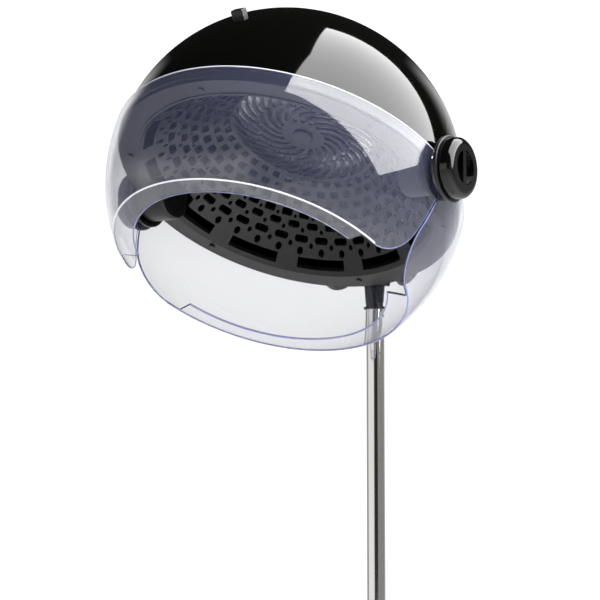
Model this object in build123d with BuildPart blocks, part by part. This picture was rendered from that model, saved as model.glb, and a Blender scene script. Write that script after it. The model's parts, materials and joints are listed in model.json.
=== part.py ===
from build123d import *
import math
import os

# Hood hair dryer on a three-stage rolling stand. Millimetres, +Z up, origin on the floor under the pole.
# The hood's pieces are drawn in the hood's own frame: origin where the visor axis crosses the middle,
# X along the visor axis, Z through the crown. HOOD_PLACE sets that frame back over the stand.

# Hood
HOOD_TILT = 28.5
HOOD_REACH = 182.0
HOOD_HEIGHT = 1275.0
SHELL_R = 186.0
SHELL_WALL = 3.0
SHELL_RIM_Z = -4.0
EAR_R = 31.0
SHELL_INNER_R = SHELL_R - SHELL_WALL

# Clear visors, both turning on the side posts
VISOR_R = 190.6
VISOR_WALL = 2.4
VISOR_TOP_Z = 5.0
VISOR_BOTTOM_Z = -107.5
LIP_WIDTH = 22.0
FRONT_EDGE_Y = 1.5
REAR_EDGE_Y = 5.5
FRONT_CORNER_R = 32.0
REAR_CORNER_R = 42.0
FRONT_LIP_HALF_ANGLE = 73.0
REAR_LIP_HALF_ANGLE = 66.0
POST_R = 14.0
RUNNING_GAP = 0.06
REAR_HUB_R = 23.4
FRONT_HUB_R = 27.0
FRONT_HUB_X = 191.0

# Side controls
PLATE_X = 194.2
PLATE_THICK = 4.0
PLATE_R = 34.0
DIAL_X = 198.8
DIAL_THICK = 14.4
DIAL_R = 31.0
SPINDLE_R = 4.0
SWITCH_X = 150.0
SWITCH_COVER_R = 25.0

# Perforated liner
LINER_TOP_Z = 66.0
LINER_TOP_R = 78.5
LINER_RIM_R = 161.0
LINER_RIM_Z = -8.0
LINER_WALL = 2.4
BOWL_BULGE = 4.0
LINER_FOLDS = (LINER_TOP_R, 88.7, 98.4, 108.5, 118.6, 129.4, 147.7, LINER_RIM_R)
NOTCH_COUNT = 12

# Air system, all on the hood's own Z axis
FAN_Z = 76.0
FAN_HEIGHT = 26.0
FAN_R = 74.0
MOTOR_Z = 112.0
MOTOR_HEIGHT = 36.0
MOTOR_R = 38.0
SHAFT_R = 4.0
HEATER_R = 104.0
HEATER_Z = 66.0

# Rear bracket and tilt hinge, in the hood's frame except the pin, which is set from the stand
SADDLE_IN_R = 192.2
SADDLE_OUT_R = 202.0
TONGUE_X = 46.0
TONGUE_R = 18.0
SADDLE_TOP_Z = 84.0
PIN_BACK = 196.0
PIN_DROP = -58.0
PIN_R = 4.0
KNUCKLE_R = 11.0
KNUCKLE_HALF = 13.4
LUG_OUT = 22.0

# Pole
UPPER_TUBE_R = 10.5
MID_TUBE_R = 12.5
LOWER_TUBE_R = 14.5
TUBE_WALL = 1.2
UPPER_TUBE_TOP = HOOD_HEIGHT - 119.0
UPPER_TUBE_BOTTOM = 672.0
MID_TUBE_TOP = 782.0
MID_TUBE_BOTTOM = 372.0
LOWER_TUBE_TOP = 488.0
LOWER_TUBE_BOTTOM = 66.0
UPPER_COLLAR_Z = 770.0
LOWER_COLLAR_Z = 476.0
COLLAR_HEIGHT = 46.0
BUTTON_Z = HOOD_HEIGHT - 126.0
BUTTON_R = 3.2

# Star base and casters
ARM_COUNT = 5
ARM_FIRST_ANGLE = 90.0
ARM_R = 11.0
ARM_REACH = 236.0
ARM_HUB_Z = 96.0
ARM_TIP_Z = 92.0
CASTER_PITCH_R = 252.0
HUB_R = 34.0
HUB_BOTTOM = 62.0
HUB_TOP = 128.0
WHEEL_R = 25.0
WHEEL_WIDTH = 9.0
CASTER_TRAIL = 16.0
CASTER_TOP = 60.0
STEM_R = 4.0

# Shell details
SEAT_R = 21.0
SEAT_X = 178.0
INTAKE_Z = 118.0
INTAKE_PITCH = 10.0
INTAKE_SLOTS = 9
INTAKE_LENGTH = 46.0
BRACKET_SCREW_Z = (68.0, 78.0)
GLAND_X = -82.0
GLAND_Z = 92.0
GLAND_R = 7.0
GLAND_BORE_R = 3.6
GLAND_LENGTH = 26.0
GLAND_Y = math.sqrt(SHELL_R**2 - GLAND_X**2 - GLAND_Z**2)
GLAND_PLANE = Plane(origin=(GLAND_X, GLAND_Y, GLAND_Z), z_dir=(GLAND_X, GLAND_Y, GLAND_Z))

# Rim band and the liner's openings
BAND_IN_R = 163.5
BAND_OUT_R = 182.8
BAND_SCREW_R = 171.0
BAND_SCREWS = 6
HOLES_ROUND = 36
NOTCH_IN_R = 148.5
NOTCH_OUT_R = 157.0
NOTCH_ANGLE = 21.0
# inner radius, outer radius, lean in degrees, width, count
SWIRLS = ((26, 49, 34, 4.8, 18), (53, 76, 24, 5.2, 30))
# ring radius, length along the ring, width, corner cut, start angle
SLOT_RINGS = (
    (84, 8.0, 6.0, 1.0, 0),
    (93.5, 9.5, 6.0, 1.0, 5),
    (103.5, 11.0, 7.0, 1.2, 0),
    (113.5, 12.0, 6.5, 1.2, 5),
    (122.5, 13.0, 6.0, 1.7, 0),
    (133.5, 15.5, 6.0, 1.8, 5),
)
# ring radius, hole radius, start angle
HOLE_RINGS = ((116, 1.7, 0), (126.5, 2.0, 5), (138.5, 2.3, 0), (143.5, 3.4, 5))

# Dial face
DISH_R = 17.5
DISH_DEPTH = 6.0
DIAL_ROUND = 7.5
GRIP_WIDE = 6.0
GRIP_TURN = 28.5

# Visor stop, bracket and hinge
STOP_Y = -155.1
STOP_Z = 102.7
STOP_WIDE = 14.0
STOP_LONG = 10.0
STOP_HIGH = 7.0
SADDLE_LOW_Z = 12.0
LUG_IN = 14.0

# Inner air parts
FAN_BLADES = 24
BAFFLE_Z = 107.0
BAFFLE_R = 142.0

# Base details
ARM_SOCKET_R = 19.0
ARM_END_Z = 70.0
WEB_HALF = 4.5
FOOT_SCREW_R = 4.2
FOOT_PLUG = 22.0

HOOD_PLACE = Location((0, -HOOD_REACH, HOOD_HEIGHT), (-HOOD_TILT, 0, 0))
PIN_Y = PIN_BACK - HOOD_REACH
PIN_Z = HOOD_HEIGHT + PIN_DROP
_tilt = math.radians(HOOD_TILT)
PIN_HOOD_Y = PIN_BACK * math.cos(_tilt) - PIN_DROP * math.sin(_tilt)
PIN_HOOD_Z = PIN_BACK * math.sin(_tilt) + PIN_DROP * math.cos(_tilt)

os.makedirs("parts", exist_ok=True)


def write(part, name, place=Location()):
    """Put a finished piece in its place and write it under its own name."""
    placed = part.moved(place)
    placed.label = name
    export_step(placed, f"parts/{name}.step")


def polar(radius, angle):
    """A point at a radius and an angle in degrees."""
    return (radius * math.cos(math.radians(angle)), radius * math.sin(math.radians(angle)))


def disc_x(radius, start, end, mode=Mode.ADD):
    """A disc or rod along X from start to end, in the part being built."""
    with Locations(Location(((start + end) / 2, 0, 0), (0, 90, 0))):
        Cylinder(radius, abs(end - start), mode=mode)


def outer_shell():
    """Dome with round ears at the visor axis, inner seats for the posts, and rear air slots."""
    with BuildPart() as shell:
        Sphere(SHELL_R)
        with BuildSketch(Plane.YZ):
            with Locations((0, SHELL_RIM_Z + SHELL_R)):
                Rectangle(3 * SHELL_R, 2 * SHELL_R)
            Circle(EAR_R)
        extrude(amount=SHELL_R + 10, both=True, mode=Mode.INTERSECT)
        Sphere(SHELL_INNER_R, mode=Mode.SUBTRACT)
        for side in (-1, 1):
            disc_x(SEAT_R, side * SEAT_X, side * (SEAT_X + 6))
        disc_x(POST_R, -SHELL_R - 5, SHELL_R + 5, Mode.SUBTRACT)
        with BuildSketch(Plane.XZ.offset(-SHELL_R - 5)):
            with Locations((0, INTAKE_Z)):
                with GridLocations(INTAKE_PITCH, 0, INTAKE_SLOTS, 1):
                    SlotOverall(INTAKE_LENGTH, INTAKE_PITCH / 2, rotation=90)
        extrude(amount=120, mode=Mode.SUBTRACT)
        with Locations(*bracket_screw_places(150)):
            Cylinder(2, 60, mode=Mode.SUBTRACT)
        with Locations(GLAND_PLANE):
            Cylinder(GLAND_R, 40, mode=Mode.SUBTRACT)
    return shell.part


def bracket_screw_places(depth):
    """Four screw axes along the hood's Y, at one depth."""
    return [Location((x, depth, z), (-90, 0, 0)) for x in (-40, 40) for z in BRACKET_SCREW_Z]


def intake_grille():
    """Curved mesh panel behind the rear air slots."""
    width = INTAKE_PITCH * INTAKE_SLOTS + 12
    with BuildPart() as grille:
        Sphere(SHELL_INNER_R - 1)
        Sphere(SHELL_INNER_R - 3, mode=Mode.SUBTRACT)
        with BuildSketch(Plane.XZ.offset(-SHELL_R)):
            with Locations((0, INTAKE_Z)):
                Rectangle(width, INTAKE_LENGTH + 10)
                with GridLocations(8, 8, int(width // 8) - 1, int(INTAKE_LENGTH // 8)):
                    Rectangle(5.5, 5.5, mode=Mode.SUBTRACT)
        extrude(amount=120, mode=Mode.INTERSECT)
    return grille.part


def rim_band():
    """Ring that closes the gap between the shell and the liner, open at the side controls."""
    with BuildPart() as band:
        with BuildSketch(Plane.XZ):
            with BuildLine():
                Polyline(
                    (BAND_IN_R, -7), (BAND_OUT_R, -7), (BAND_OUT_R, 6), (BAND_OUT_R - 3, 6),
                    (BAND_OUT_R - 3, -3), (BAND_IN_R, -3), close=True,
                )
            make_face()
        revolve(axis=Axis.Z)
        for side in (-1, 1):
            disc_x(SWITCH_COVER_R + 0.2, side * 140, side * SHELL_R, Mode.SUBTRACT)
        with PolarLocations(BAND_SCREW_R, BAND_SCREWS, 30):
            Cylinder(1.6, 30, mode=Mode.SUBTRACT)
    return band.part


def liner_screws():
    """Screws that hold the rim band and the liner, from below."""
    with BuildPart() as screws:
        with PolarLocations(BAND_SCREW_R, BAND_SCREWS, 30):
            with Locations((0, 0, -7.9)):
                Cylinder(3.2, 1.8)
            with Locations((0, 0, -3.5)):
                Cylinder(1.6, 7)
    return screws.part


def swirl_slot(inner_r, outer_r, turn, width):
    """A curved slot that runs outwards and leans by an angle."""
    middle_r = (inner_r + outer_r) / 2
    line = ThreePointArc(
        polar(inner_r, 0), polar(middle_r, 0.38 * turn), polar(outer_r, turn), mode=Mode.PRIVATE
    )
    SlotArc(line, width)


def ring_notch(inner_r, outer_r, angle):
    """A rectangular opening bent along a ring, centred on local X."""
    with BuildSketch() as notch:
        Circle(outer_r)
        Circle(inner_r, mode=Mode.SUBTRACT)
        Polygon((0, 0), polar(400, -angle / 2), polar(400, angle / 2), align=None, mode=Mode.INTERSECT)
    return notch.sketch


def blunt_slot(long, wide, corner):
    """A straight slot with its corners cut off."""
    x = wide / 2
    y = long / 2
    right = ((x - corner, -y), (x, corner - y), (x, y - corner), (x - corner, y))
    left = ((corner - x, y), (-x, y - corner), (-x, corner - y), (corner - x, -y))
    Polygon(*right, *left, align=None)


def bowl_point(radius, lift=0):
    """A point on the liner's side at a radius, with the profile bulging slightly outwards."""
    part = (radius - LINER_TOP_R) / (LINER_RIM_R - LINER_TOP_R)
    drop = part * (LINER_TOP_Z - LINER_RIM_Z) - 4 * BOWL_BULGE * part * (1 - part)
    return (radius, LINER_TOP_Z - drop + lift)


def inner_liner():
    """Perforated bowl with a swirl grille in its flat crown and a flange that lies on the rim band."""
    notch = ring_notch(NOTCH_IN_R, NOTCH_OUT_R, NOTCH_ANGLE)
    flange = (
        (BAND_IN_R - 0.3, LINER_RIM_Z), (BAND_IN_R - 0.3, -3), (BAND_OUT_R - 4, -3), (BAND_OUT_R - 4, -1),
        (LINER_RIM_R - 1.5, -1),
    )
    with BuildPart() as liner:
        with BuildSketch(Plane.XZ):
            with BuildLine():
                Polyline(
                    (0, LINER_TOP_Z + LINER_WALL), (0, LINER_TOP_Z), *map(bowl_point, LINER_FOLDS), *flange,
                    *[bowl_point(radius, LINER_WALL / 0.78) for radius in LINER_FOLDS[-2:0:-1]],
                    (LINER_TOP_R + 1, LINER_TOP_Z + LINER_WALL), close=True,
                )
            make_face()
        revolve(axis=Axis.Z)
        with BuildSketch(Plane.XY.offset(2 * LINER_RIM_Z)):
            for inner_r, outer_r, turn, width, count in SWIRLS:
                with PolarLocations(0, count):
                    swirl_slot(inner_r, outer_r, turn, width)
            for ring_r, long, wide, corner, start in SLOT_RINGS:
                with PolarLocations(ring_r, HOLES_ROUND, start):
                    blunt_slot(long, wide, corner)
            for ring_r, hole_r, start in HOLE_RINGS:
                with PolarLocations(ring_r, HOLES_ROUND, start):
                    Circle(hole_r)
            with PolarLocations(0, NOTCH_COUNT, 180 / NOTCH_COUNT):
                add(notch)
        extrude(amount=110, mode=Mode.SUBTRACT)
        for side in (-1, 1):
            disc_x(SWITCH_COVER_R + 0.2, side * 140, side * SHELL_R, Mode.SUBTRACT)
        with PolarLocations(BAND_SCREW_R, BAND_SCREWS, 30):
            Cylinder(1.6, 30, mode=Mode.SUBTRACT)
    return liner.part


def grille_cap():
    """Round cap in the middle of the swirl grille."""
    with BuildPart() as cap:
        with Locations((0, 0, LINER_TOP_Z - 1.5)):
            Cylinder(11, 3)
        fillet(cap.edges().sort_by(Axis.Z)[0], 1.4)
    return cap.part


def side_post(side):
    """Hollow post and base plate that carry both visors and the dial on one side."""
    with BuildPart() as post:
        disc_x(POST_R, side * (SEAT_X - 6), side * PLATE_X)
        disc_x(PLATE_R, side * PLATE_X, side * (PLATE_X + PLATE_THICK))
        fillet(post.edges().filter_by(GeomType.CIRCLE).group_by(SortBy.RADIUS)[-1], 1.2)
        disc_x(SPINDLE_R + RUNNING_GAP, side * 150, side * 210, Mode.SUBTRACT)
    return post.part


def post_nuts():
    """Ring nuts that clamp the side posts to the shell."""
    with BuildPart() as nuts:
        for side in (-1, 1):
            disc_x(20, side * (SEAT_X - 6), side * SEAT_X)
        disc_x(POST_R, -SEAT_X, SEAT_X, Mode.SUBTRACT)
    return nuts.part


def switch_cover(side):
    """Round cup that closes the control pocket inside the hood."""
    with BuildPart() as cover:
        disc_x(SWITCH_COVER_R, side * (SWITCH_X - 4), side * (SEAT_X + 2))
        fillet(cover.faces().sort_by(Axis.X)[0 if side > 0 else -1].edges(), 4)
        disc_x(SWITCH_COVER_R - 2, side * (SWITCH_X - 2), side * (SEAT_X + 4), Mode.SUBTRACT)
    return cover.part


def timer_mechanism():
    """Clockwork timer body with its mounting ears."""
    with BuildPart() as timer:
        disc_x(17, SWITCH_X + 1, SWITCH_X + 19)
        with Locations((SWITCH_X + 18, 0, 0)):
            Box(2, 40, 12)
        with Locations((SWITCH_X - 0.5, 0, 0)):
            Box(3, 14, 4)
        disc_x(SPINDLE_R + RUNNING_GAP, SWITCH_X + 4, 180, Mode.SUBTRACT)
    return timer.part


def heat_switch():
    """Rotary switch body with three blade terminals."""
    with BuildPart() as switch:
        with Locations((-SWITCH_X - 10, 0, 0)):
            Box(18, 26, 26)
        with Locations(*[(-SWITCH_X + 0.5, y, 0) for y in (-8, 0, 8)]):
            Box(3, 1, 6)
        disc_x(SPINDLE_R + RUNNING_GAP, -SWITCH_X - 4, -180, Mode.SUBTRACT)
    return switch.part


def dial(side):
    """Round dial with a thick rounded rim and a grip bar across its dished face."""
    face = side * (DIAL_X + DIAL_THICK)
    with BuildPart() as knob:
        disc_x(DIAL_R, side * DIAL_X, face)
        fillet(knob.faces().sort_by(Axis.X)[-1 if side > 0 else 0].edges(), DIAL_ROUND)
        fillet(knob.faces().sort_by(Axis.X)[0 if side > 0 else -1].edges(), 2)
        disc_x(DISH_R, face - side * DISH_DEPTH, face + side, Mode.SUBTRACT)
        with Locations(Location((face - side * (DISH_DEPTH / 2 + 1), 0, 0), (GRIP_TURN, 0, 0))):
            Box(DISH_DEPTH, GRIP_WIDE, 2 * DISH_R + 2)
        disc_x(SPINDLE_R, side * 150, face - side * (DISH_DEPTH + 1), Mode.SUBTRACT)
    return knob.part


def dial_spindle(side):
    """Steel spindle between a dial and its switch."""
    with BuildPart() as spindle:
        disc_x(SPINDLE_R, side * (SWITCH_X + 5), side * (DIAL_X + DIAL_THICK - DISH_DEPTH - 1))
    return spindle.part


def visor_outline(edge, away, corner_r):
    """Side outline of a visor: straight top and bottom, one rounded corner at the side edge."""
    centre = (edge + away * corner_r, VISOR_BOTTOM_Z + corner_r)
    bend = (centre[0] - away * corner_r * math.sqrt(0.5), centre[1] - corner_r * math.sqrt(0.5))
    far = away * (VISOR_R + 10)
    with BuildSketch() as outline:
        with BuildLine():
            ThreePointArc((centre[0], VISOR_BOTTOM_Z), bend, (edge, centre[1]))
            Polyline(
                (edge, centre[1]), (edge, VISOR_TOP_Z), (far, VISOR_TOP_Z), (far, VISOR_BOTTOM_Z),
                (centre[0], VISOR_BOTTOM_Z),
            )
        make_face()
    return outline.sketch


def visor_lip(away, half_angle):
    """Flat strip turned inwards along the middle of a visor's lower edge."""
    outer_r = math.sqrt(VISOR_R**2 - VISOR_BOTTOM_Z**2)
    with BuildSketch(Plane.XY.offset(VISOR_BOTTOM_Z)) as lip:
        Circle(outer_r - 1.2)
        Circle(outer_r - LIP_WIDTH, mode=Mode.SUBTRACT)
        wedge = [polar(400, away * 90 + half_angle * step / 2) for step in (-2, -1, 0, 1, 2)]
        Polygon((0, 0), *wedge, align=None, mode=Mode.INTERSECT)
    extrude(lip.sketch, amount=VISOR_WALL)


def front_visor():
    """Clear front visor: a spherical band on two raised hubs, with an inward lip."""
    with BuildPart() as visor:
        Sphere(VISOR_R)
        Sphere(VISOR_R - VISOR_WALL, mode=Mode.SUBTRACT)
        with BuildSketch(Plane.YZ):
            add(visor_outline(FRONT_EDGE_Y, -1, FRONT_CORNER_R))
            Circle(FRONT_HUB_R - VISOR_WALL, mode=Mode.SUBTRACT)
        extrude(amount=VISOR_R + 10, both=True, mode=Mode.INTERSECT)
        visor_lip(-1, FRONT_LIP_HALF_ANGLE)
        for side in (-1, 1):
            with BuildSketch(Plane.YZ.offset(side * (FRONT_HUB_X - 4.4))):
                Circle(FRONT_HUB_R)
                Circle(FRONT_HUB_R - VISOR_WALL, mode=Mode.SUBTRACT)
                with Locations((FRONT_EDGE_Y - 50, VISOR_TOP_Z - 50)):
                    Rectangle(100, 100, mode=Mode.INTERSECT)
            extrude(amount=side * (4.4 + VISOR_WALL))
            disc_x(FRONT_HUB_R, side * FRONT_HUB_X, side * (FRONT_HUB_X + VISOR_WALL))
        disc_x(POST_R + RUNNING_GAP, -VISOR_R - 20, VISOR_R + 20, Mode.SUBTRACT)
    return visor.part


def rear_visor():
    """Clear neck guard: a spherical band whose hubs stay inside the front visor's."""
    with BuildPart() as visor:
        Sphere(VISOR_R)
        Sphere(VISOR_R - VISOR_WALL, mode=Mode.SUBTRACT)
        with BuildSketch(Plane.YZ):
            add(visor_outline(REAR_EDGE_Y, 1, REAR_CORNER_R))
            Circle(REAR_HUB_R)
        extrude(amount=VISOR_R + 10, both=True, mode=Mode.INTERSECT)
        visor_lip(1, REAR_LIP_HALF_ANGLE)
        disc_x(POST_R + RUNNING_GAP, -VISOR_R - 20, VISOR_R + 20, Mode.SUBTRACT)
    return visor.part


def visor_stop():
    """One small block on the middle of the dome that stops the raised front visor."""
    centre = (0, STOP_Y, STOP_Z)
    with BuildPart() as stop:
        with Locations(Plane(origin=centre, x_dir=(1, 0, 0), z_dir=centre)):
            Box(STOP_WIDE, STOP_LONG, 2 * STOP_HIGH)
        fillet(stop.edges(), 1.2)
        Sphere(SHELL_R, mode=Mode.SUBTRACT)
    return stop.part


def rear_bracket():
    """Saddle behind the hood: screwed to the shell at its top, with two tongues and hinge lugs."""
    with BuildPart() as bracket:
        Sphere(SADDLE_OUT_R)
        Sphere(SADDLE_IN_R, mode=Mode.SUBTRACT)
        with BuildSketch(Plane.XZ):
            with Locations((0, (SADDLE_TOP_Z + SADDLE_LOW_Z) / 2)):
                RectangleRounded(2 * (TONGUE_X + TONGUE_R), SADDLE_TOP_Z - SADDLE_LOW_Z, 8)
            with Locations((-TONGUE_X, 26), (TONGUE_X, 26)):
                SlotOverall(54, 2 * TONGUE_R, rotation=90)
            with Locations((0, 0)):
                Rectangle(2 * LUG_IN, 2 * 60, mode=Mode.SUBTRACT)
        extrude(amount=-SADDLE_OUT_R - 5, mode=Mode.INTERSECT)
        with BuildPart(mode=Mode.PRIVATE) as pad:
            Sphere(SADDLE_IN_R + 1)
            with BuildSketch(Plane.XZ):
                with Locations((0, SADDLE_TOP_Z - 11)):
                    Rectangle(104, 22)
            extrude(amount=-SADDLE_OUT_R - 5, mode=Mode.INTERSECT)
            Sphere(SHELL_R, mode=Mode.SUBTRACT)
        add(pad.part)
        for side in (-1, 1):
            with Locations(Location((side * (LUG_IN + LUG_OUT) / 2, PIN_HOOD_Y, PIN_HOOD_Z), (0, 90, 0))):
                Cylinder(KNUCKLE_R, LUG_OUT - LUG_IN)
        with Locations(Location((0, PIN_HOOD_Y, PIN_HOOD_Z), (0, 90, 0))):
            Cylinder(PIN_R, 80, mode=Mode.SUBTRACT)
            with Locations((0, 0, LUG_OUT + 3), (0, 0, -LUG_OUT - 3)):
                Cylinder(7.5, 6, mode=Mode.SUBTRACT)
        with Locations(*bracket_screw_places(150)):
            Cylinder(2, 100, mode=Mode.SUBTRACT)
        with Locations(*bracket_screw_places(181 + 10)):
            Cylinder(4.2, 20, mode=Mode.SUBTRACT)
    return bracket.part


def bracket_screws():
    """Four screws through the bracket into the shell."""
    with BuildPart() as screws:
        with Locations(*bracket_screw_places(182.2)):
            Cylinder(4, 2.4)
        with Locations(*bracket_screw_places(172)):
            Cylinder(2, 18)
    return screws.part


def tilt_pin():
    """Hinge pin with a head at each end."""
    with BuildPart() as pin:
        with Locations(Location((0, PIN_HOOD_Y, PIN_HOOD_Z), (0, 90, 0))):
            Cylinder(PIN_R, 2 * LUG_OUT)
            with Locations((0, 0, LUG_OUT + 2), (0, 0, -LUG_OUT - 2)):
                Cylinder(7, 4)
    return pin.part


def cord_gland():
    """Mains cord inlet gland, with no cord in it."""
    with BuildPart() as gland:
        with Locations(GLAND_PLANE):
            Cylinder(GLAND_R + 3, 10)
        Sphere(SHELL_R, mode=Mode.SUBTRACT)
        with Locations(GLAND_PLANE):
            Cylinder(GLAND_R, GLAND_LENGTH)
            Cylinder(GLAND_BORE_R, 2 * GLAND_LENGTH, mode=Mode.SUBTRACT)
    return gland.part


def terminal_block():
    """Four-way terminal block under the baffle, beside the cord inlet."""
    with BuildPart() as block:
        with Locations((GLAND_X + 10, 106, BAFFLE_Z - 7)):
            Box(34, 12, 14)
            with GridLocations(8, 0, 4, 1):
                with Locations((0, 0, -7)):
                    Cylinder(2.4, 8, mode=Mode.SUBTRACT)
    return block.part


def motor_can():
    """Motor body with a running bore for its shaft."""
    with BuildPart() as can:
        with Locations((0, 0, MOTOR_Z + MOTOR_HEIGHT / 2)):
            Cylinder(MOTOR_R, MOTOR_HEIGHT)
        fillet(can.edges().group_by(Axis.Z)[0], 4)
        Cylinder(SHAFT_R + RUNNING_GAP, 2 * (MOTOR_Z + MOTOR_HEIGHT) + 2, mode=Mode.SUBTRACT)
        with PolarLocations(MOTOR_R, 12):
            with Locations((0, 0, MOTOR_Z + MOTOR_HEIGHT / 2)):
                Box(4, 5, MOTOR_HEIGHT - 14, mode=Mode.SUBTRACT)
    return can.part


def motor_bracket():
    """Three-armed plate that hangs the motor from the dome."""
    top = MOTOR_Z + MOTOR_HEIGHT
    with BuildPart() as bracket:
        with BuildSketch(Plane.XY.offset(top)):
            Circle(32)
            with PolarLocations(60, 3, 90):
                Rectangle(120, 18)
            Circle(8, mode=Mode.SUBTRACT)
        extrude(amount=3)
        Sphere(SHELL_INNER_R, mode=Mode.INTERSECT)
    return bracket.part


def motor_shaft():
    """Steel shaft that carries the impeller."""
    with BuildPart() as shaft:
        with BuildSketch(Plane.XY.offset(FAN_Z + 2)):
            Circle(SHAFT_R)
        extrude(amount=MOTOR_Z + MOTOR_HEIGHT - FAN_Z - 4)
    return shaft.part


def fan_impeller():
    """Steel centrifugal impeller with curved blades between a plate and a ring."""
    top = FAN_Z + FAN_HEIGHT
    with BuildPart() as fan:
        with BuildSketch(Plane.XY.offset(top - 1.5)):
            Circle(FAN_R)
        extrude(amount=1.5)
        with BuildSketch(Plane.XY.offset(FAN_Z)):
            Circle(FAN_R)
            Circle(FAN_R - 22, mode=Mode.SUBTRACT)
        extrude(amount=1.5)
        with BuildSketch(Plane.XY.offset(FAN_Z + 0.5)):
            with PolarLocations(0, FAN_BLADES):
                swirl_slot(FAN_R - 24, FAN_R - 2, 16, 1.6)
        extrude(amount=FAN_HEIGHT - 1)
        with BuildSketch(Plane.XY.offset(top - 16)):
            Circle(12)
        extrude(amount=16)
        Cylinder(SHAFT_R, 400, mode=Mode.SUBTRACT)
    return fan.part


def air_baffle():
    """Plate that parts the intake from the hot side, open round the motor, with three tabs to the dome."""
    with BuildPart() as baffle:
        with BuildSketch(Plane.XY.offset(BAFFLE_Z)):
            Circle(BAFFLE_R)
            with PolarLocations(BAFFLE_R, 3, 30):
                Rectangle(20, 24)
            Circle(46, mode=Mode.SUBTRACT)
        extrude(amount=2)
        Sphere(SHELL_INNER_R, mode=Mode.INTERSECT)
    return baffle.part


def coil_rings(mode=Mode.ADD):
    """Three plain rings for the resistance coil, in the part being built."""
    with Locations(*[(0, 0, HEATER_Z + step) for step in (8, 16, 24)]):
        Torus(HEATER_R + 3, 1.6, mode=mode)


def heater_frame():
    """Two insulating rings on posts that hang from the baffle."""
    with BuildPart() as frame:
        for height in (HEATER_Z, HEATER_Z + 30):
            with BuildSketch(Plane.XY.offset(height)):
                Circle(HEATER_R + 8)
                Circle(HEATER_R - 8, mode=Mode.SUBTRACT)
            extrude(amount=2)
        with BuildSketch(Plane.XY.offset(HEATER_Z)):
            with PolarLocations(HEATER_R - 2, 8, 22.5):
                Rectangle(10, 14)
        extrude(amount=BAFFLE_Z - HEATER_Z)
        coil_rings(Mode.SUBTRACT)
    return frame.part


def heater_coil():
    """Resistance coil, drawn as three plain rings."""
    with BuildPart() as coil:
        coil_rings()
    return coil.part


def thermostat():
    """Safety thermostat button on the baffle."""
    with BuildPart() as button:
        with Locations((0, 84, BAFFLE_Z + 6)):
            Cylinder(9, 8)
            with Locations((-5, 0, 6), (5, 0, 6)):
                Box(1, 5, 6)
    return button.part


def ring_z(outer_r, inner_r, bottom, top, mode=Mode.ADD):
    """A ring round the pole between two heights, in the part being built."""
    with BuildSketch(Plane.XY.offset(bottom)) as ring:
        Circle(outer_r)
        if inner_r:
            Circle(inner_r, mode=Mode.SUBTRACT)
    extrude(ring.sketch, amount=top - bottom, mode=mode)


def pole_head():
    """Tapered connector: a spigot in the tube, a neck with a flange, and the hinge knuckle."""
    with BuildPart() as head:
        ring_z(UPPER_TUBE_R - TUBE_WALL, 0, UPPER_TUBE_TOP - 42, UPPER_TUBE_TOP)
        ring_z(12.3, 0, UPPER_TUBE_TOP, UPPER_TUBE_TOP + 3)
        ring_z(10.0, 0, UPPER_TUBE_TOP + 3, UPPER_TUBE_TOP + 7)
        with BuildSketch(Plane.XY.offset(UPPER_TUBE_TOP + 7)):
            Circle(10.4)
        with BuildSketch(Plane.XY.offset(HOOD_HEIGHT - 90)):
            Circle(12)
        loft()
        with BuildSketch(Plane.YZ):
            with Locations((0, HOOD_HEIGHT - 89)):
                Rectangle(22, 6)
            with Locations((PIN_Y, PIN_Z)):
                Circle(KNUCKLE_R)
            make_hull()
        extrude(amount=KNUCKLE_HALF, both=True)
        with Locations(Location((0, PIN_Y, PIN_Z), (0, 90, 0))):
            Cylinder(PIN_R + RUNNING_GAP, 80, mode=Mode.SUBTRACT)
        with Locations(Location((UPPER_TUBE_R, 0, BUTTON_Z), (0, 90, 0))):
            Cylinder(BUTTON_R + RUNNING_GAP, 16, mode=Mode.SUBTRACT)
    return head.part


def snap_button():
    """Spring button that locks the connector in the tube."""
    with BuildPart() as button:
        with Locations(Location((UPPER_TUBE_R - 2.4, 0, BUTTON_Z), (0, 90, 0))):
            Cylinder(BUTTON_R, 8)
        fillet(button.edges().sort_by(Axis.X)[-1], 1.2)
    return button.part


def pole_tube(outer_r, bottom, top):
    """One stage of the pole; the lowest has a threaded plug in its foot, the highest a button hole."""
    with BuildPart() as tube:
        ring_z(outer_r, outer_r - TUBE_WALL, bottom, top)
        if bottom == LOWER_TUBE_BOTTOM:
            ring_z(outer_r, FOOT_SCREW_R, bottom, bottom + FOOT_PLUG)
        if top == UPPER_TUBE_TOP:
            with Locations(Location((UPPER_TUBE_R, 0, BUTTON_Z), (0, 90, 0))):
                Cylinder(BUTTON_R + RUNNING_GAP, 16, mode=Mode.SUBTRACT)
    return tube.part


def guide_bush(tube_r, bottom):
    """Sliding bush on the foot of a tube."""
    with BuildPart() as bush:
        ring_z(tube_r + 0.8 - RUNNING_GAP, tube_r, bottom, bottom + 30)
    return bush.part


def collar_body(tube_r, bottom):
    """Collar fixed on the top of a tube, with the thread for its nut."""
    with BuildPart() as body:
        ring_z(tube_r + 4.6, tube_r, bottom, bottom + 12)
        fillet(body.edges().group_by(Axis.Z)[0].sort_by(SortBy.RADIUS)[-1], 2)
        ring_z(tube_r + 4.6, tube_r + 0.5, bottom + 12, bottom + 16)
        ring_z(tube_r + 2.2, tube_r + 0.5, bottom + 16, bottom + 30)
    return body.part


def collar_collet(tube_r, sliding_r, bottom):
    """Split sleeve that grips the sliding tube."""
    with BuildPart() as collet:
        ring_z(tube_r + 0.4, sliding_r + RUNNING_GAP, bottom + 12, bottom + 33)
        with PolarLocations(tube_r, 4):
            with Locations((0, 0, bottom + 27)):
                Box(6, 1.2, 14, mode=Mode.SUBTRACT)
    return collet.part


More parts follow.
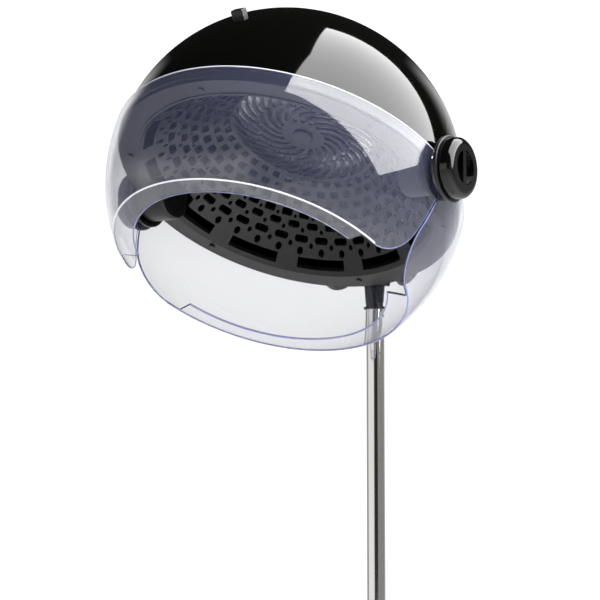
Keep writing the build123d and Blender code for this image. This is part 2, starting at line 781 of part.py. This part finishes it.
def collar_nut(tube_r, sliding_r, bottom):
    """Fluted nut that closes the collet when it is twisted."""
    with BuildPart() as nut:
        ring_z(tube_r + 6.6, 0, bottom + 16.6, bottom + COLLAR_HEIGHT)
        fillet(nut.edges().group_by(Axis.Z)[-1], 3)
        ring_z(tube_r + 2.6, 0, bottom + 16.6, bottom + 31, Mode.SUBTRACT)
        ring_z(tube_r + 0.9, 0, bottom + 31, bottom + 34, Mode.SUBTRACT)
        ring_z(sliding_r + 0.4, 0, bottom + 34, bottom + 60, Mode.SUBTRACT)
        with PolarLocations(tube_r + 7.4, 18):
            with Locations((0, 0, bottom + 27)):
                Cylinder(1.4, 18, mode=Mode.SUBTRACT)
    return nut.part


def outwards(angle):
    """Level direction away from the pole at an angle."""
    return (*polar(1, angle), 0)


def radial_plane(angle):
    """Upright plane through the pole whose X runs outwards at an angle."""
    return Plane(origin=(0, 0, 0), x_dir=outwards(angle), z_dir=outwards(angle - 90))


def arm_angles():
    """Directions of the five arms."""
    return [ARM_FIRST_ANGLE + 360 / ARM_COUNT * index for index in range(ARM_COUNT)]


def base_hub():
    """Round hub with a socket for the pole and one for each arm."""
    with BuildPart() as hub:
        with BuildSketch(Plane.XZ):
            with BuildLine():
                Polyline(
                    (0, HUB_BOTTOM), (HUB_R - 4, HUB_BOTTOM), (HUB_R, HUB_BOTTOM + 6), (HUB_R, 108),
                    (LOWER_TUBE_R + 8, HUB_TOP - 8), (LOWER_TUBE_R + 5, HUB_TOP), (0, HUB_TOP), close=True,
                )
            make_face()
        revolve(axis=Axis.Z)
        ring_z(LOWER_TUBE_R, 0, LOWER_TUBE_BOTTOM, HUB_TOP + 1, Mode.SUBTRACT)
        for angle in arm_angles():
            middle = (*polar(ARM_SOCKET_R + 20, angle), ARM_HUB_Z)
            with Locations(Plane(origin=middle, z_dir=outwards(angle))):
                Cylinder(ARM_R, 40, mode=Mode.SUBTRACT)
        Cylinder(FOOT_SCREW_R, 400, mode=Mode.SUBTRACT)
    return hub.part


def pole_foot_screw():
    """Screw and washer that draw the pole down into the hub."""
    with BuildPart() as screw:
        ring_z(12, 0, HUB_BOTTOM - 2, HUB_BOTTOM)
        ring_z(7, 0, HUB_BOTTOM - 7, HUB_BOTTOM - 2)
        ring_z(FOOT_SCREW_R, 0, HUB_BOTTOM, LOWER_TUBE_BOTTOM + FOOT_PLUG)
    return screw.part


def base_arms():
    """Five bent steel arms, one for each caster."""
    with BuildPart() as arms:
        for angle in arm_angles():
            plane = radial_plane(angle)
            with BuildLine(plane) as route:
                FilletPolyline(
                    (ARM_SOCKET_R, ARM_HUB_Z), (ARM_REACH, ARM_TIP_Z + 4), (CASTER_PITCH_R, ARM_END_Z),
                    radius=18,
                )
            with BuildSketch(Plane(origin=route.line @ 0, z_dir=route.line % 0)):
                Circle(ARM_R - 0.02)
            sweep(path=route.line)
            centre = polar(CASTER_PITCH_R, angle)
            with Locations((*centre, (CASTER_TOP + ARM_END_Z + 8) / 2)):
                Cylinder(ARM_R, ARM_END_Z + 8 - CASTER_TOP)
            with Locations((*centre, CASTER_TOP + 10)):
                Cylinder(STEM_R + RUNNING_GAP, 20 + 12, mode=Mode.SUBTRACT)
    return arms.part


def caster_axle(angle):
    """Plane across a caster's axle, outwards of its stem."""
    return Plane(origin=(*polar(CASTER_PITCH_R + CASTER_TRAIL, angle), WHEEL_R), z_dir=outwards(angle - 90))


def caster_fork(angle):
    """Caster body: stem, swivel plate, web between the wheels and a mudguard over them."""
    plane = radial_plane(angle)
    with BuildPart() as fork:
        with BuildSketch(plane):
            with Locations((CASTER_PITCH_R + CASTER_TRAIL, WHEEL_R)):
                Circle(9)
            with Locations((CASTER_PITCH_R + 3, CASTER_TOP - 8)):
                Rectangle(18, 5)
            make_hull()
        extrude(amount=WEB_HALF, both=True)
        with BuildSketch(plane):
            with Locations((CASTER_PITCH_R + CASTER_TRAIL, WHEEL_R)):
                Circle(WHEEL_R + 4)
                Circle(WHEEL_R + 1.5, mode=Mode.SUBTRACT)
            with Locations((CASTER_PITCH_R + CASTER_TRAIL, WHEEL_R + 30)):
                Rectangle(100, 44, mode=Mode.INTERSECT)
        extrude(amount=WEB_HALF + 1 + WHEEL_WIDTH, both=True)
        centre = polar(CASTER_PITCH_R, angle)
        with Locations((*centre, CASTER_TOP - 4)):
            Cylinder(ARM_R, 6)
        with Locations((*centre, CASTER_TOP + 9)):
            Cylinder(STEM_R, 22)
        with Locations(caster_axle(angle)):
            Cylinder(3 + RUNNING_GAP, 60, mode=Mode.SUBTRACT)
    return fork.part


def caster_wheels(angle):
    """Twin wheels on their axle."""
    with BuildPart() as wheels:
        with Locations(caster_axle(angle)):
            for side in (-1, 1):
                with Locations((0, 0, side * (WEB_HALF + 0.5 + WHEEL_WIDTH / 2))):
                    Cylinder(WHEEL_R, WHEEL_WIDTH)
        fillet(wheels.edges(), 1.5)
        with Locations(caster_axle(angle)):
            Cylinder(3, 2 * WEB_HALF + 8)
    return wheels.part


for piece, name in (
    (outer_shell(), "outer_shell"),
    (intake_grille(), "intake_grille"),
    (rim_band(), "rim_band"),
    (liner_screws(), "liner_screws"),
    (inner_liner(), "inner_liner"),
    (grille_cap(), "grille_cap"),
    (side_post(1), "right_post"),
    (side_post(-1), "left_post"),
    (post_nuts(), "post_nuts"),
    (switch_cover(1), "right_switch_cover"),
    (switch_cover(-1), "left_switch_cover"),
    (timer_mechanism(), "timer_mechanism"),
    (heat_switch(), "heat_switch"),
    (dial(1), "timer_dial"),
    (dial(-1), "heat_dial"),
    (dial_spindle(1), "timer_spindle"),
    (dial_spindle(-1), "heat_spindle"),
    (front_visor(), "front_visor"),
    (rear_visor(), "rear_visor"),
    (visor_stop(), "visor_stop"),
    (rear_bracket(), "rear_bracket"),
    (bracket_screws(), "bracket_screws"),
    (tilt_pin(), "tilt_pin"),
    (cord_gland(), "cord_gland"),
    (terminal_block(), "terminal_block"),
    (motor_can(), "motor_can"),
    (motor_bracket(), "motor_bracket"),
    (motor_shaft(), "motor_shaft"),
    (fan_impeller(), "fan_impeller"),
    (air_baffle(), "air_baffle"),
    (heater_frame(), "heater_frame"),
    (heater_coil(), "heater_coil"),
    (thermostat(), "thermostat"),
):
    write(piece, name, HOOD_PLACE)

for piece, name in (
    (pole_head(), "pole_head"),
    (snap_button(), "snap_button"),
    (pole_tube(UPPER_TUBE_R, UPPER_TUBE_BOTTOM, UPPER_TUBE_TOP), "upper_tube"),
    (pole_tube(MID_TUBE_R, MID_TUBE_BOTTOM, MID_TUBE_TOP), "mid_tube"),
    (pole_tube(LOWER_TUBE_R, LOWER_TUBE_BOTTOM, LOWER_TUBE_TOP), "lower_tube"),
    (guide_bush(UPPER_TUBE_R, UPPER_TUBE_BOTTOM), "upper_guide_bush"),
    (guide_bush(MID_TUBE_R, MID_TUBE_BOTTOM), "mid_guide_bush"),
    (collar_body(MID_TUBE_R, UPPER_COLLAR_Z), "upper_collar_body"),
    (collar_collet(MID_TUBE_R, UPPER_TUBE_R, UPPER_COLLAR_Z), "upper_collet"),
    (collar_nut(MID_TUBE_R, UPPER_TUBE_R, UPPER_COLLAR_Z), "upper_collar_nut"),
    (collar_body(LOWER_TUBE_R, LOWER_COLLAR_Z), "lower_collar_body"),
    (collar_collet(LOWER_TUBE_R, MID_TUBE_R, LOWER_COLLAR_Z), "lower_collet"),
    (collar_nut(LOWER_TUBE_R, MID_TUBE_R, LOWER_COLLAR_Z), "lower_collar_nut"),
    (base_hub(), "base_hub"),
    (pole_foot_screw(), "pole_foot_screw"),
    (base_arms(), "base_arms"),
):
    write(piece, name)

for number, angle in enumerate(arm_angles(), start=1):
    write(caster_fork(angle), f"caster_fork_{number}")
    write(caster_wheels(angle), f"caster_wheels_{number}")
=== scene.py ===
import json
import math

import bmesh
import bpy
from mathutils import Matrix, Vector


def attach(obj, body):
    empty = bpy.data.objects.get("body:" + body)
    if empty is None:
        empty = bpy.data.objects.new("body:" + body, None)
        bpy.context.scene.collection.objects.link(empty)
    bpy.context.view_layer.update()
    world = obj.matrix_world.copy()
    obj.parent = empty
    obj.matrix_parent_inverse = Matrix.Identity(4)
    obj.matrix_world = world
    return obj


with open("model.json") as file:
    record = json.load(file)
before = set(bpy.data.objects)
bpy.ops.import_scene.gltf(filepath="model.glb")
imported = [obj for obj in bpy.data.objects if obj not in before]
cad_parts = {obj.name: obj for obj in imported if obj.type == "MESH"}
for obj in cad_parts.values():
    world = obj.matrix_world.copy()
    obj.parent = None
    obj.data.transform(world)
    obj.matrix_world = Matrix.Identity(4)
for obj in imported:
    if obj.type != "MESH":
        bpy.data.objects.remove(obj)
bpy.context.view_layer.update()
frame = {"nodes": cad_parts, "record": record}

# Hood hair dryer. Metres, +Z up, origin on the floor under the pole, -Y to the front.

NODES = frame["nodes"]
HOOD_TILT = math.radians(28.5)
HOOD_CENTRE = Vector((0.0, -0.182, 1.275))
HOOD = Matrix.Translation(HOOD_CENTRE) @ Matrix.Rotation(-HOOD_TILT, 4, "X")
VISOR_R = 0.1906


# Node helpers

def material(name):
    """A new node material, with its tree, its shader and its output."""
    mat = bpy.data.materials.new(name)
    mat.use_nodes = True
    tree = mat.node_tree
    return mat, tree, tree.nodes["Principled BSDF"]


def noise(tree, scale, detail=3.0, rough=0.55, stretch=(1, 1, 1)):
    """A noise texture in object space, which can be stretched along an axis."""
    coords = tree.nodes.new("ShaderNodeTexCoord")
    mapping = tree.nodes.new("ShaderNodeMapping")
    mapping.inputs["Scale"].default_value = stretch
    tex = tree.nodes.new("ShaderNodeTexNoise")
    tex.inputs["Scale"].default_value = scale
    tex.inputs["Detail"].default_value = detail
    tex.inputs["Roughness"].default_value = rough
    tree.links.new(coords.outputs["Object"], mapping.inputs["Vector"])
    tree.links.new(mapping.outputs["Vector"], tex.inputs["Vector"])
    return tex


def spread(tree, source, low, high, start=0.3, stop=0.7):
    """Stretch a noise value to a range."""
    node = tree.nodes.new("ShaderNodeMapRange")
    node.inputs["From Min"].default_value = start
    node.inputs["From Max"].default_value = stop
    node.inputs["To Min"].default_value = low
    node.inputs["To Max"].default_value = high
    tree.links.new(source.outputs["Fac"], node.inputs["Value"])
    return node.outputs["Result"]


def tint(tree, source, dark, light):
    """A colour that varies between two with a noise value."""
    ramp = tree.nodes.new("ShaderNodeValToRGB")
    ramp.color_ramp.elements[0].position = 0.35
    ramp.color_ramp.elements[1].position = 0.65
    ramp.color_ramp.elements[0].color = (*dark, 1)
    ramp.color_ramp.elements[1].color = (*light, 1)
    tree.links.new(source.outputs["Fac"], ramp.inputs["Fac"])
    return ramp.outputs["Color"]


def bump(tree, shader, source, height, strength):
    """Fine relief from a noise value."""
    node = tree.nodes.new("ShaderNodeBump")
    node.inputs["Distance"].default_value = height
    node.inputs["Strength"].default_value = strength
    tree.links.new(source.outputs["Fac"], node.inputs["Height"])
    tree.links.new(node.outputs["Normal"], shader.inputs["Normal"])


def surface(name, dark, light, rough, grain, relief, metallic=0.0, stretch=(1, 1, 1), coat=0.0):
    """An opaque moulded, painted or metal surface with colour, roughness and relief variation."""
    mat, tree, shader = material(name)
    tex = noise(tree, grain, stretch=stretch)
    tree.links.new(tint(tree, tex, dark, light), shader.inputs["Base Color"])
    tree.links.new(spread(tree, tex, *rough), shader.inputs["Roughness"])
    shader.inputs["Metallic"].default_value = metallic
    if coat:
        shader.inputs["Coat Weight"].default_value = coat
        shader.inputs["Coat Roughness"].default_value = 0.03
    if relief:
        bump(tree, shader, tex, *relief)
    return mat


ACRYLIC_TINT = (0.985, 0.988, 1.0, 1)
ACRYLIC_IOR = 1.47
VEIL_GRAIN = 35.0
VEIL_SPREAD = 0.08


def clear_plastic(name, veil_share, rough, veil_colour):
    """Clear acrylic with a share of diffuse veil in it: a cool tint on the visor, and a painted highlight
    on the edge beads.
    """
    mat, tree, shader = material(name)
    tex = noise(tree, VEIL_GRAIN)
    shader.inputs["Base Color"].default_value = ACRYLIC_TINT
    shader.inputs["Transmission Weight"].default_value = 1.0
    shader.inputs["IOR"].default_value = ACRYLIC_IOR
    tree.links.new(spread(tree, tex, *rough), shader.inputs["Roughness"])
    veil = tree.nodes.new("ShaderNodeBsdfDiffuse")
    veil.inputs["Color"].default_value = (*veil_colour, 1)
    mix = tree.nodes.new("ShaderNodeMixShader")
    tree.links.new(spread(tree, tex, veil_share * (1 - VEIL_SPREAD), veil_share * (1 + VEIL_SPREAD)), mix.inputs["Fac"])
    tree.links.new(shader.outputs["BSDF"], mix.inputs[1])
    tree.links.new(veil.outputs["BSDF"], mix.inputs[2])
    output = tree.nodes["Material Output"]
    tree.links.new(mix.outputs["Shader"], output.inputs["Surface"])
    return mat


# Looks of the record's material slots: colours, roughness range, grain, relief

LOOKS = {
    "shell_black": surface(
        "gloss_black", (0.0010, 0.0010, 0.0009), (0.0018, 0.0018, 0.0016), (0.035, 0.06), 900,
        (0.00002, 0.05),
    ),
    "liner_black": surface(
        "satin_black", (0.0042, 0.0041, 0.0039), (0.0066, 0.0064, 0.0061), (0.26, 0.34), 1400,
        (0.00006, 0.25),
    ),
    "clear_tint": clear_plastic("clear_acrylic", 0.042, (0.0, 0.03), (0.45, 0.49, 0.82)),
    "control_black": surface(
        "dial_black", (0.0012, 0.0012, 0.0012), (0.0022, 0.0022, 0.0022), (0.07, 0.12), 1200,
        (0.00003, 0.12),
    ),
    "trim_black": surface(
        "moulded_black", (0.0035, 0.0035, 0.0036), (0.0065, 0.0065, 0.0066), (0.26, 0.38), 1600,
        (0.00006, 0.3),
    ),
    "chrome": surface(
        "chrome_plate", (0.70, 0.68, 0.65), (0.77, 0.755, 0.73), (0.05, 0.10), 260, (0.00001, 0.05),
        metallic=1.0, stretch=(1, 1, 0.02),
    ),
    "steel": surface(
        "plain_steel", (0.40, 0.40, 0.41), (0.55, 0.55, 0.56), (0.25, 0.4), 500, (0.00004, 0.2),
        metallic=1.0,
    ),
    "base_black": surface(
        "enamel_black", (0.006, 0.006, 0.006), (0.010, 0.010, 0.010), (0.12, 0.22), 700, (0.00004, 0.12),
        coat=0.4,
    ),
    "bush_white": surface(
        "moulded_white", (0.62, 0.62, 0.60), (0.72, 0.72, 0.70), (0.4, 0.5), 900, (0.00004, 0.15),
    ),
    "wheel_black": surface(
        "wheel_rubber", (0.012, 0.012, 0.012), (0.022, 0.022, 0.022), (0.5, 0.68), 900, (0.0001, 0.35),
    ),
    # Near-black, darker than the board's own dark grey, so that the liner's holes read dark: the board's
    # own tone plus painted shade.
    "insulator": surface(
        "insulating_board_painted_shade", (0.012, 0.010, 0.009), (0.022, 0.019, 0.016), (0.6, 0.8), 700, (0.0001, 0.3),
    ),
    "fan_metal": surface(
        "pressed_metal", (0.60, 0.61, 0.62), (0.72, 0.73, 0.74), (0.22, 0.36), 500, (0.00004, 0.2),
        metallic=1.0,
    ),
    "element": surface(
        "resistance_wire", (0.24, 0.21, 0.19), (0.34, 0.31, 0.29), (0.35, 0.5), 900, (0.00004, 0.2),
        metallic=1.0,
    ),
}

DARK_STEEL = surface(
    "blackened_steel", (0.012, 0.012, 0.012), (0.02, 0.02, 0.02), (0.3, 0.42), 500, (0.00004, 0.2),
)
# Painted highlights: near-white frosted beads stand in for the bright lines of light along the visors'
# glass edges, and bluish beads stand in for their fainter refraction lines.
PAINTED_EDGE_HIGHLIGHT = clear_plastic("painted_edge_highlight", 0.86, (0.05, 0.12), (0.93, 0.93, 1.0))
PAINTED_REFRACTION_LINE = clear_plastic("painted_refraction_line", 0.60, (0.05, 0.12), (0.50, 0.54, 0.98))

for part in frame["record"]["subparts"]:
    node = NODES[part["node"]]
    look = DARK_STEEL if part["node"] == "liner_screws" else LOOKS[part["material_slot"]]
    node.data.materials.clear()
    node.data.materials.append(look)


# Pieces added to the CAD nodes

BEAD_SIDES = 8

def piece(name, verts, faces, mat, body):
    """A smooth mesh piece, given in the hood's frame, that rides on a body."""
    mesh = bpy.data.meshes.new(name)
    mesh.from_pydata([tuple(HOOD @ Vector(v)) for v in verts], [], faces)
    mesh.validate()
    build = bmesh.new()
    build.from_mesh(mesh)
    bmesh.ops.recalc_face_normals(build, faces=build.faces)
    build.to_mesh(mesh)
    build.free()
    for face in mesh.polygons:
        face.use_smooth = True
    mesh.materials.append(mat)
    obj = bpy.data.objects.new(name, mesh)
    bpy.context.scene.collection.objects.link(obj)
    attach(obj, body)
    return obj


def bead(name, path, radius, mat, body):
    """A round bead with closed ends along a path."""
    verts = []
    faces = []
    last = len(path) - 1
    for i, here in enumerate(path):
        along = (path[min(i + 1, last)] - path[max(i - 1, 0)]).normalized()
        out = here - along * here.dot(along)
        out.normalize()
        side = along.cross(out)
        for k in range(BEAD_SIDES):
            angle = 2 * math.pi * k / BEAD_SIDES
            verts.append(here + out * (radius * math.cos(angle)) + side * (radius * math.sin(angle)))
    for i in range(last):
        near = i * BEAD_SIDES
        far = near + BEAD_SIDES
        for k in range(BEAD_SIDES):
            n = (k + 1) % BEAD_SIDES
            faces.append((near + k, near + n, far + n, far + k))
    faces.append(tuple(range(BEAD_SIDES)))
    faces.append(tuple(range(last * BEAD_SIDES, len(verts))))
    return piece(name, verts, faces, mat, body)


# Painted light along the visor edges: beads standing in for the bright and bluish lines on the glass edges

VISOR_TOP = 0.005
VISOR_FOLD = -0.1075
LIP_WIDTH = 0.022
HUB_CLEARANCE = 0.034
SIDE_STEPS = 24
CORNER_STEPS = 16


def on_sphere(radius, y, z, side):
    """The point of a sphere about the hood centre that has a given Y and Z, on one side."""
    return Vector((side * math.sqrt(radius**2 - y**2 - z**2), y, z))


def ring_path(radius, z, start, stop, steps):
    """Points round the hood's axis from one angle to another, in degrees from +X."""
    points = []
    for i in range(steps + 1):
        angle = math.radians(start + (stop - start) * i / steps)
        points.append(Vector((radius * math.cos(angle), radius * math.sin(angle), z)))
    return points


def side_path(radius, edge_y, away, corner_r, side):
    """Points down a visor's side edge and round its lower corner, clear of the hub."""
    corner_z = VISOR_FOLD + corner_r
    path = []
    for i in range(SIDE_STEPS + 1):
        z = VISOR_TOP + (corner_z - VISOR_TOP) * i / SIDE_STEPS
        path.append(on_sphere(radius, edge_y, z, side))
    for i in range(1, CORNER_STEPS + 1):
        angle = math.pi / 2 * i / CORNER_STEPS
        y = edge_y + away * corner_r * (1 - math.cos(angle))
        path.append(on_sphere(radius, y, corner_z - corner_r * math.sin(angle), side))
    return [p for p in path if math.hypot(p.y, p.z) > HUB_CLEARANCE]


def painted_visor_edges(name, away, edge_y, corner_r, lip_half, fold_painted_light):
    """Painted-light beads along the top edge, the side edges, the fold and the lip of one visor."""
    radius = VISOR_R - 0.0009
    outer_r = math.sqrt(VISOR_R**2 - VISOR_FOLD**2)
    top_r = math.sqrt(radius**2 - VISOR_TOP**2)
    first = math.degrees(math.asin(edge_y / top_r))
    top = ring_path(top_r, VISOR_TOP + 0.0003, first, away * 180 - first, 120)
    bead(name + "_top_edge_painted_light", top, 0.0008, PAINTED_EDGE_HIGHLIGHT, name)
    fold_r = outer_r - 0.0004
    turn = math.degrees(math.asin((edge_y + away * corner_r) / fold_r))
    fold = ring_path(fold_r, VISOR_FOLD + 0.0002, turn, away * 180 - turn, 110)
    bead(name + "_fold_painted_light", fold, 0.0009, fold_painted_light, name)
    for side, label in ((1, "right"), (-1, "left")):
        path = side_path(radius, edge_y, away, corner_r, side)
        bead(name + "_side_edge_painted_light_" + label, path, 0.0006, PAINTED_REFRACTION_LINE, name)
    middle = away * 90
    lip = ring_path(outer_r - LIP_WIDTH, VISOR_FOLD + 0.0012, middle - lip_half, middle + lip_half, 90)
    bead(name + "_lip_edge_painted_light", lip, 0.0008, PAINTED_REFRACTION_LINE, name)


# Painted edge highlights and refraction lines on both visors
painted_visor_edges("front_visor", -1, edge_y=0.0015, corner_r=0.032, lip_half=73, fold_painted_light=PAINTED_EDGE_HIGHLIGHT)
painted_visor_edges("rear_visor", 1, edge_y=0.0055, corner_r=0.042, lip_half=66, fold_painted_light=PAINTED_REFRACTION_LINE)


# Camera

CAMERA_AZ = math.radians(33.4)
CAMERA_EL = math.radians(-8.9)
CAMERA_DISTANCE = 2.0
AIM_AZ = math.radians(32.992)
AIM_EL = math.radians(5.437)
FOCAL_PIXELS = 1891.7
IMAGE_PIXELS = 600.0
SENSOR = 36.0
camera_data = bpy.data.cameras.new("camera")
camera_data.sensor_width = SENSOR
camera_data.lens = SENSOR * FOCAL_PIXELS / IMAGE_PIXELS
camera = bpy.data.objects.new("camera", camera_data)
camera.location = HOOD_CENTRE + CAMERA_DISTANCE * Vector((
    math.cos(CAMERA_EL) * math.sin(CAMERA_AZ),
    -math.cos(CAMERA_EL) * math.cos(CAMERA_AZ),
    math.sin(CAMERA_EL),
))
camera.rotation_euler = (math.pi / 2 + AIM_EL, 0, AIM_AZ)
bpy.context.scene.collection.objects.link(camera)
bpy.context.scene.camera = camera


# Stage: pale floor, white surroundings and one large softbox

def stage_mesh(name, corners, mat):
    """A flat staging panel from its corners."""
    mesh = bpy.data.meshes.new(name)
    mesh.from_pydata([tuple(c) for c in corners], [], [tuple(range(len(corners)))])
    mesh.materials.append(mat)
    obj = bpy.data.objects.new(name, mesh)
    bpy.context.scene.collection.objects.link(obj)
    return obj


def glow(name, strength):
    """A plain light-giving material for a softbox."""
    mat = bpy.data.materials.new(name)
    mat.use_nodes = True
    tree = mat.node_tree
    tree.nodes.clear()
    shader = tree.nodes.new("ShaderNodeEmission")
    shader.inputs["Strength"].default_value = strength
    output = tree.nodes.new("ShaderNodeOutputMaterial")
    tree.links.new(shader.outputs["Emission"], output.inputs["Surface"])
    return mat


FLOOR_HALF = 8.5
floor_look = surface("pale_floor", (0.56, 0.56, 0.56), (0.58, 0.58, 0.58), (0.55, 0.65), 6, None)
stage_mesh("floor", [
    (x * FLOOR_HALF, y * FLOOR_HALF, 0) for x, y in ((-1, -1), (1, -1), (1, 1), (-1, 1))
], floor_look)

SOFTBOX_DIRECTIONS = (
    (1.0, 0.0, 0.01), (0.344, -0.55, 0.76), (0.224, -0.025, 0.948), (-0.064, 0.467, 0.882),
    (0.595, 0.773, 0.223),
)
SOFTBOX_DISTANCE = 2.0
SOFTBOX_STRENGTH = 7.0
facing = Vector((0.684, 0.252, 0.684)).normalized()
softbox = stage_mesh("softbox", [
    HOOD_CENTRE + Vector(d) * (SOFTBOX_DISTANCE / Vector(d).dot(facing)) for d in SOFTBOX_DIRECTIONS
], glow("softbox_glow", SOFTBOX_STRENGTH))
softbox.visible_camera = False

# White surroundings, which glossy surfaces see with dark gaps and a dark top

SURROUNDINGS_STRENGTH = 1.18
world = bpy.data.worlds.new("surroundings")
world.use_nodes = True
bpy.context.scene.world = world
tree = world.node_tree
tree.nodes.clear()
place = tree.nodes.new("ShaderNodeTexCoord")


def toward(direction, start, stop, low, high):
    """A value that changes with how closely a ray runs along a direction."""
    dot = tree.nodes.new("ShaderNodeVectorMath")
    dot.operation = "DOT_PRODUCT"
    dot.inputs[1].default_value = direction
    tree.links.new(place.outputs["Generated"], dot.inputs[0])
    ramp = tree.nodes.new("ShaderNodeMapRange")
    ramp.interpolation_type = "SMOOTHSTEP"
    ramp.inputs["From Min"].default_value = start
    ramp.inputs["From Max"].default_value = stop
    ramp.inputs["To Min"].default_value = low
    ramp.inputs["To Max"].default_value = high
    tree.links.new(dot.outputs["Value"], ramp.inputs["Value"])
    return ramp.outputs["Result"]


def combine(operation, first, second):
    """Join two values."""
    node = tree.nodes.new("ShaderNodeMath")
    node.operation = operation
    tree.links.new(first, node.inputs[0])
    tree.links.new(second, node.inputs[1])
    return node.outputs["Value"]


dark_gap = toward((0.55, -0.835, 0.0), 0.86, 0.97, 1.0, 0.03)
right_side = toward((0.95, 0.30, 0.0), 0.2, 0.8, 1.0, 0.30)
dark_top = toward((0.0, 0.0, 1.0), 0.10, 0.26, 1.0, 0.01)
low_left = toward((0.839, 0.545, 1.0), 0.0, 0.18, 1.0, 0.0)
low_right = toward((-0.839, -0.545, 1.0), 0.0, 0.18, 1.0, 0.0)
behind = toward((-0.55, 0.835, 0.0), 0.62, 0.88, 0.0, 0.9)
rim_light = combine("MULTIPLY", behind, combine("MAXIMUM", low_left, low_right))
left_gap = toward((-1.0, 0.03, 0.0), 0.90, 0.98, 1.0, 0.35)
gaps = combine("MULTIPLY", combine("MULTIPLY", dark_gap, left_gap), right_side)
reflected = combine("MULTIPLY", gaps, combine("MAXIMUM", dark_top, rim_light))
seen = tree.nodes.new("ShaderNodeBackground")
seen.inputs["Color"].default_value = (1, 1, 1, 1)
seen.inputs["Strength"].default_value = SURROUNDINGS_STRENGTH
mirrored = tree.nodes.new("ShaderNodeBackground")
mirrored.inputs["Color"].default_value = (1, 1, 1, 1)
tree.links.new(reflected, mirrored.inputs["Strength"])
paths = tree.nodes.new("ShaderNodeLightPath")
choose = tree.nodes.new("ShaderNodeMixShader")
tree.links.new(paths.outputs["Is Glossy Ray"], choose.inputs["Fac"])
tree.links.new(seen.outputs["Background"], choose.inputs[1])
tree.links.new(mirrored.outputs["Background"], choose.inputs[2])
world_out = tree.nodes.new("ShaderNodeOutputWorld")
tree.links.new(choose.outputs["Shader"], world_out.inputs["Surface"])
bpy.context.scene.view_settings.view_transform = "Standard"
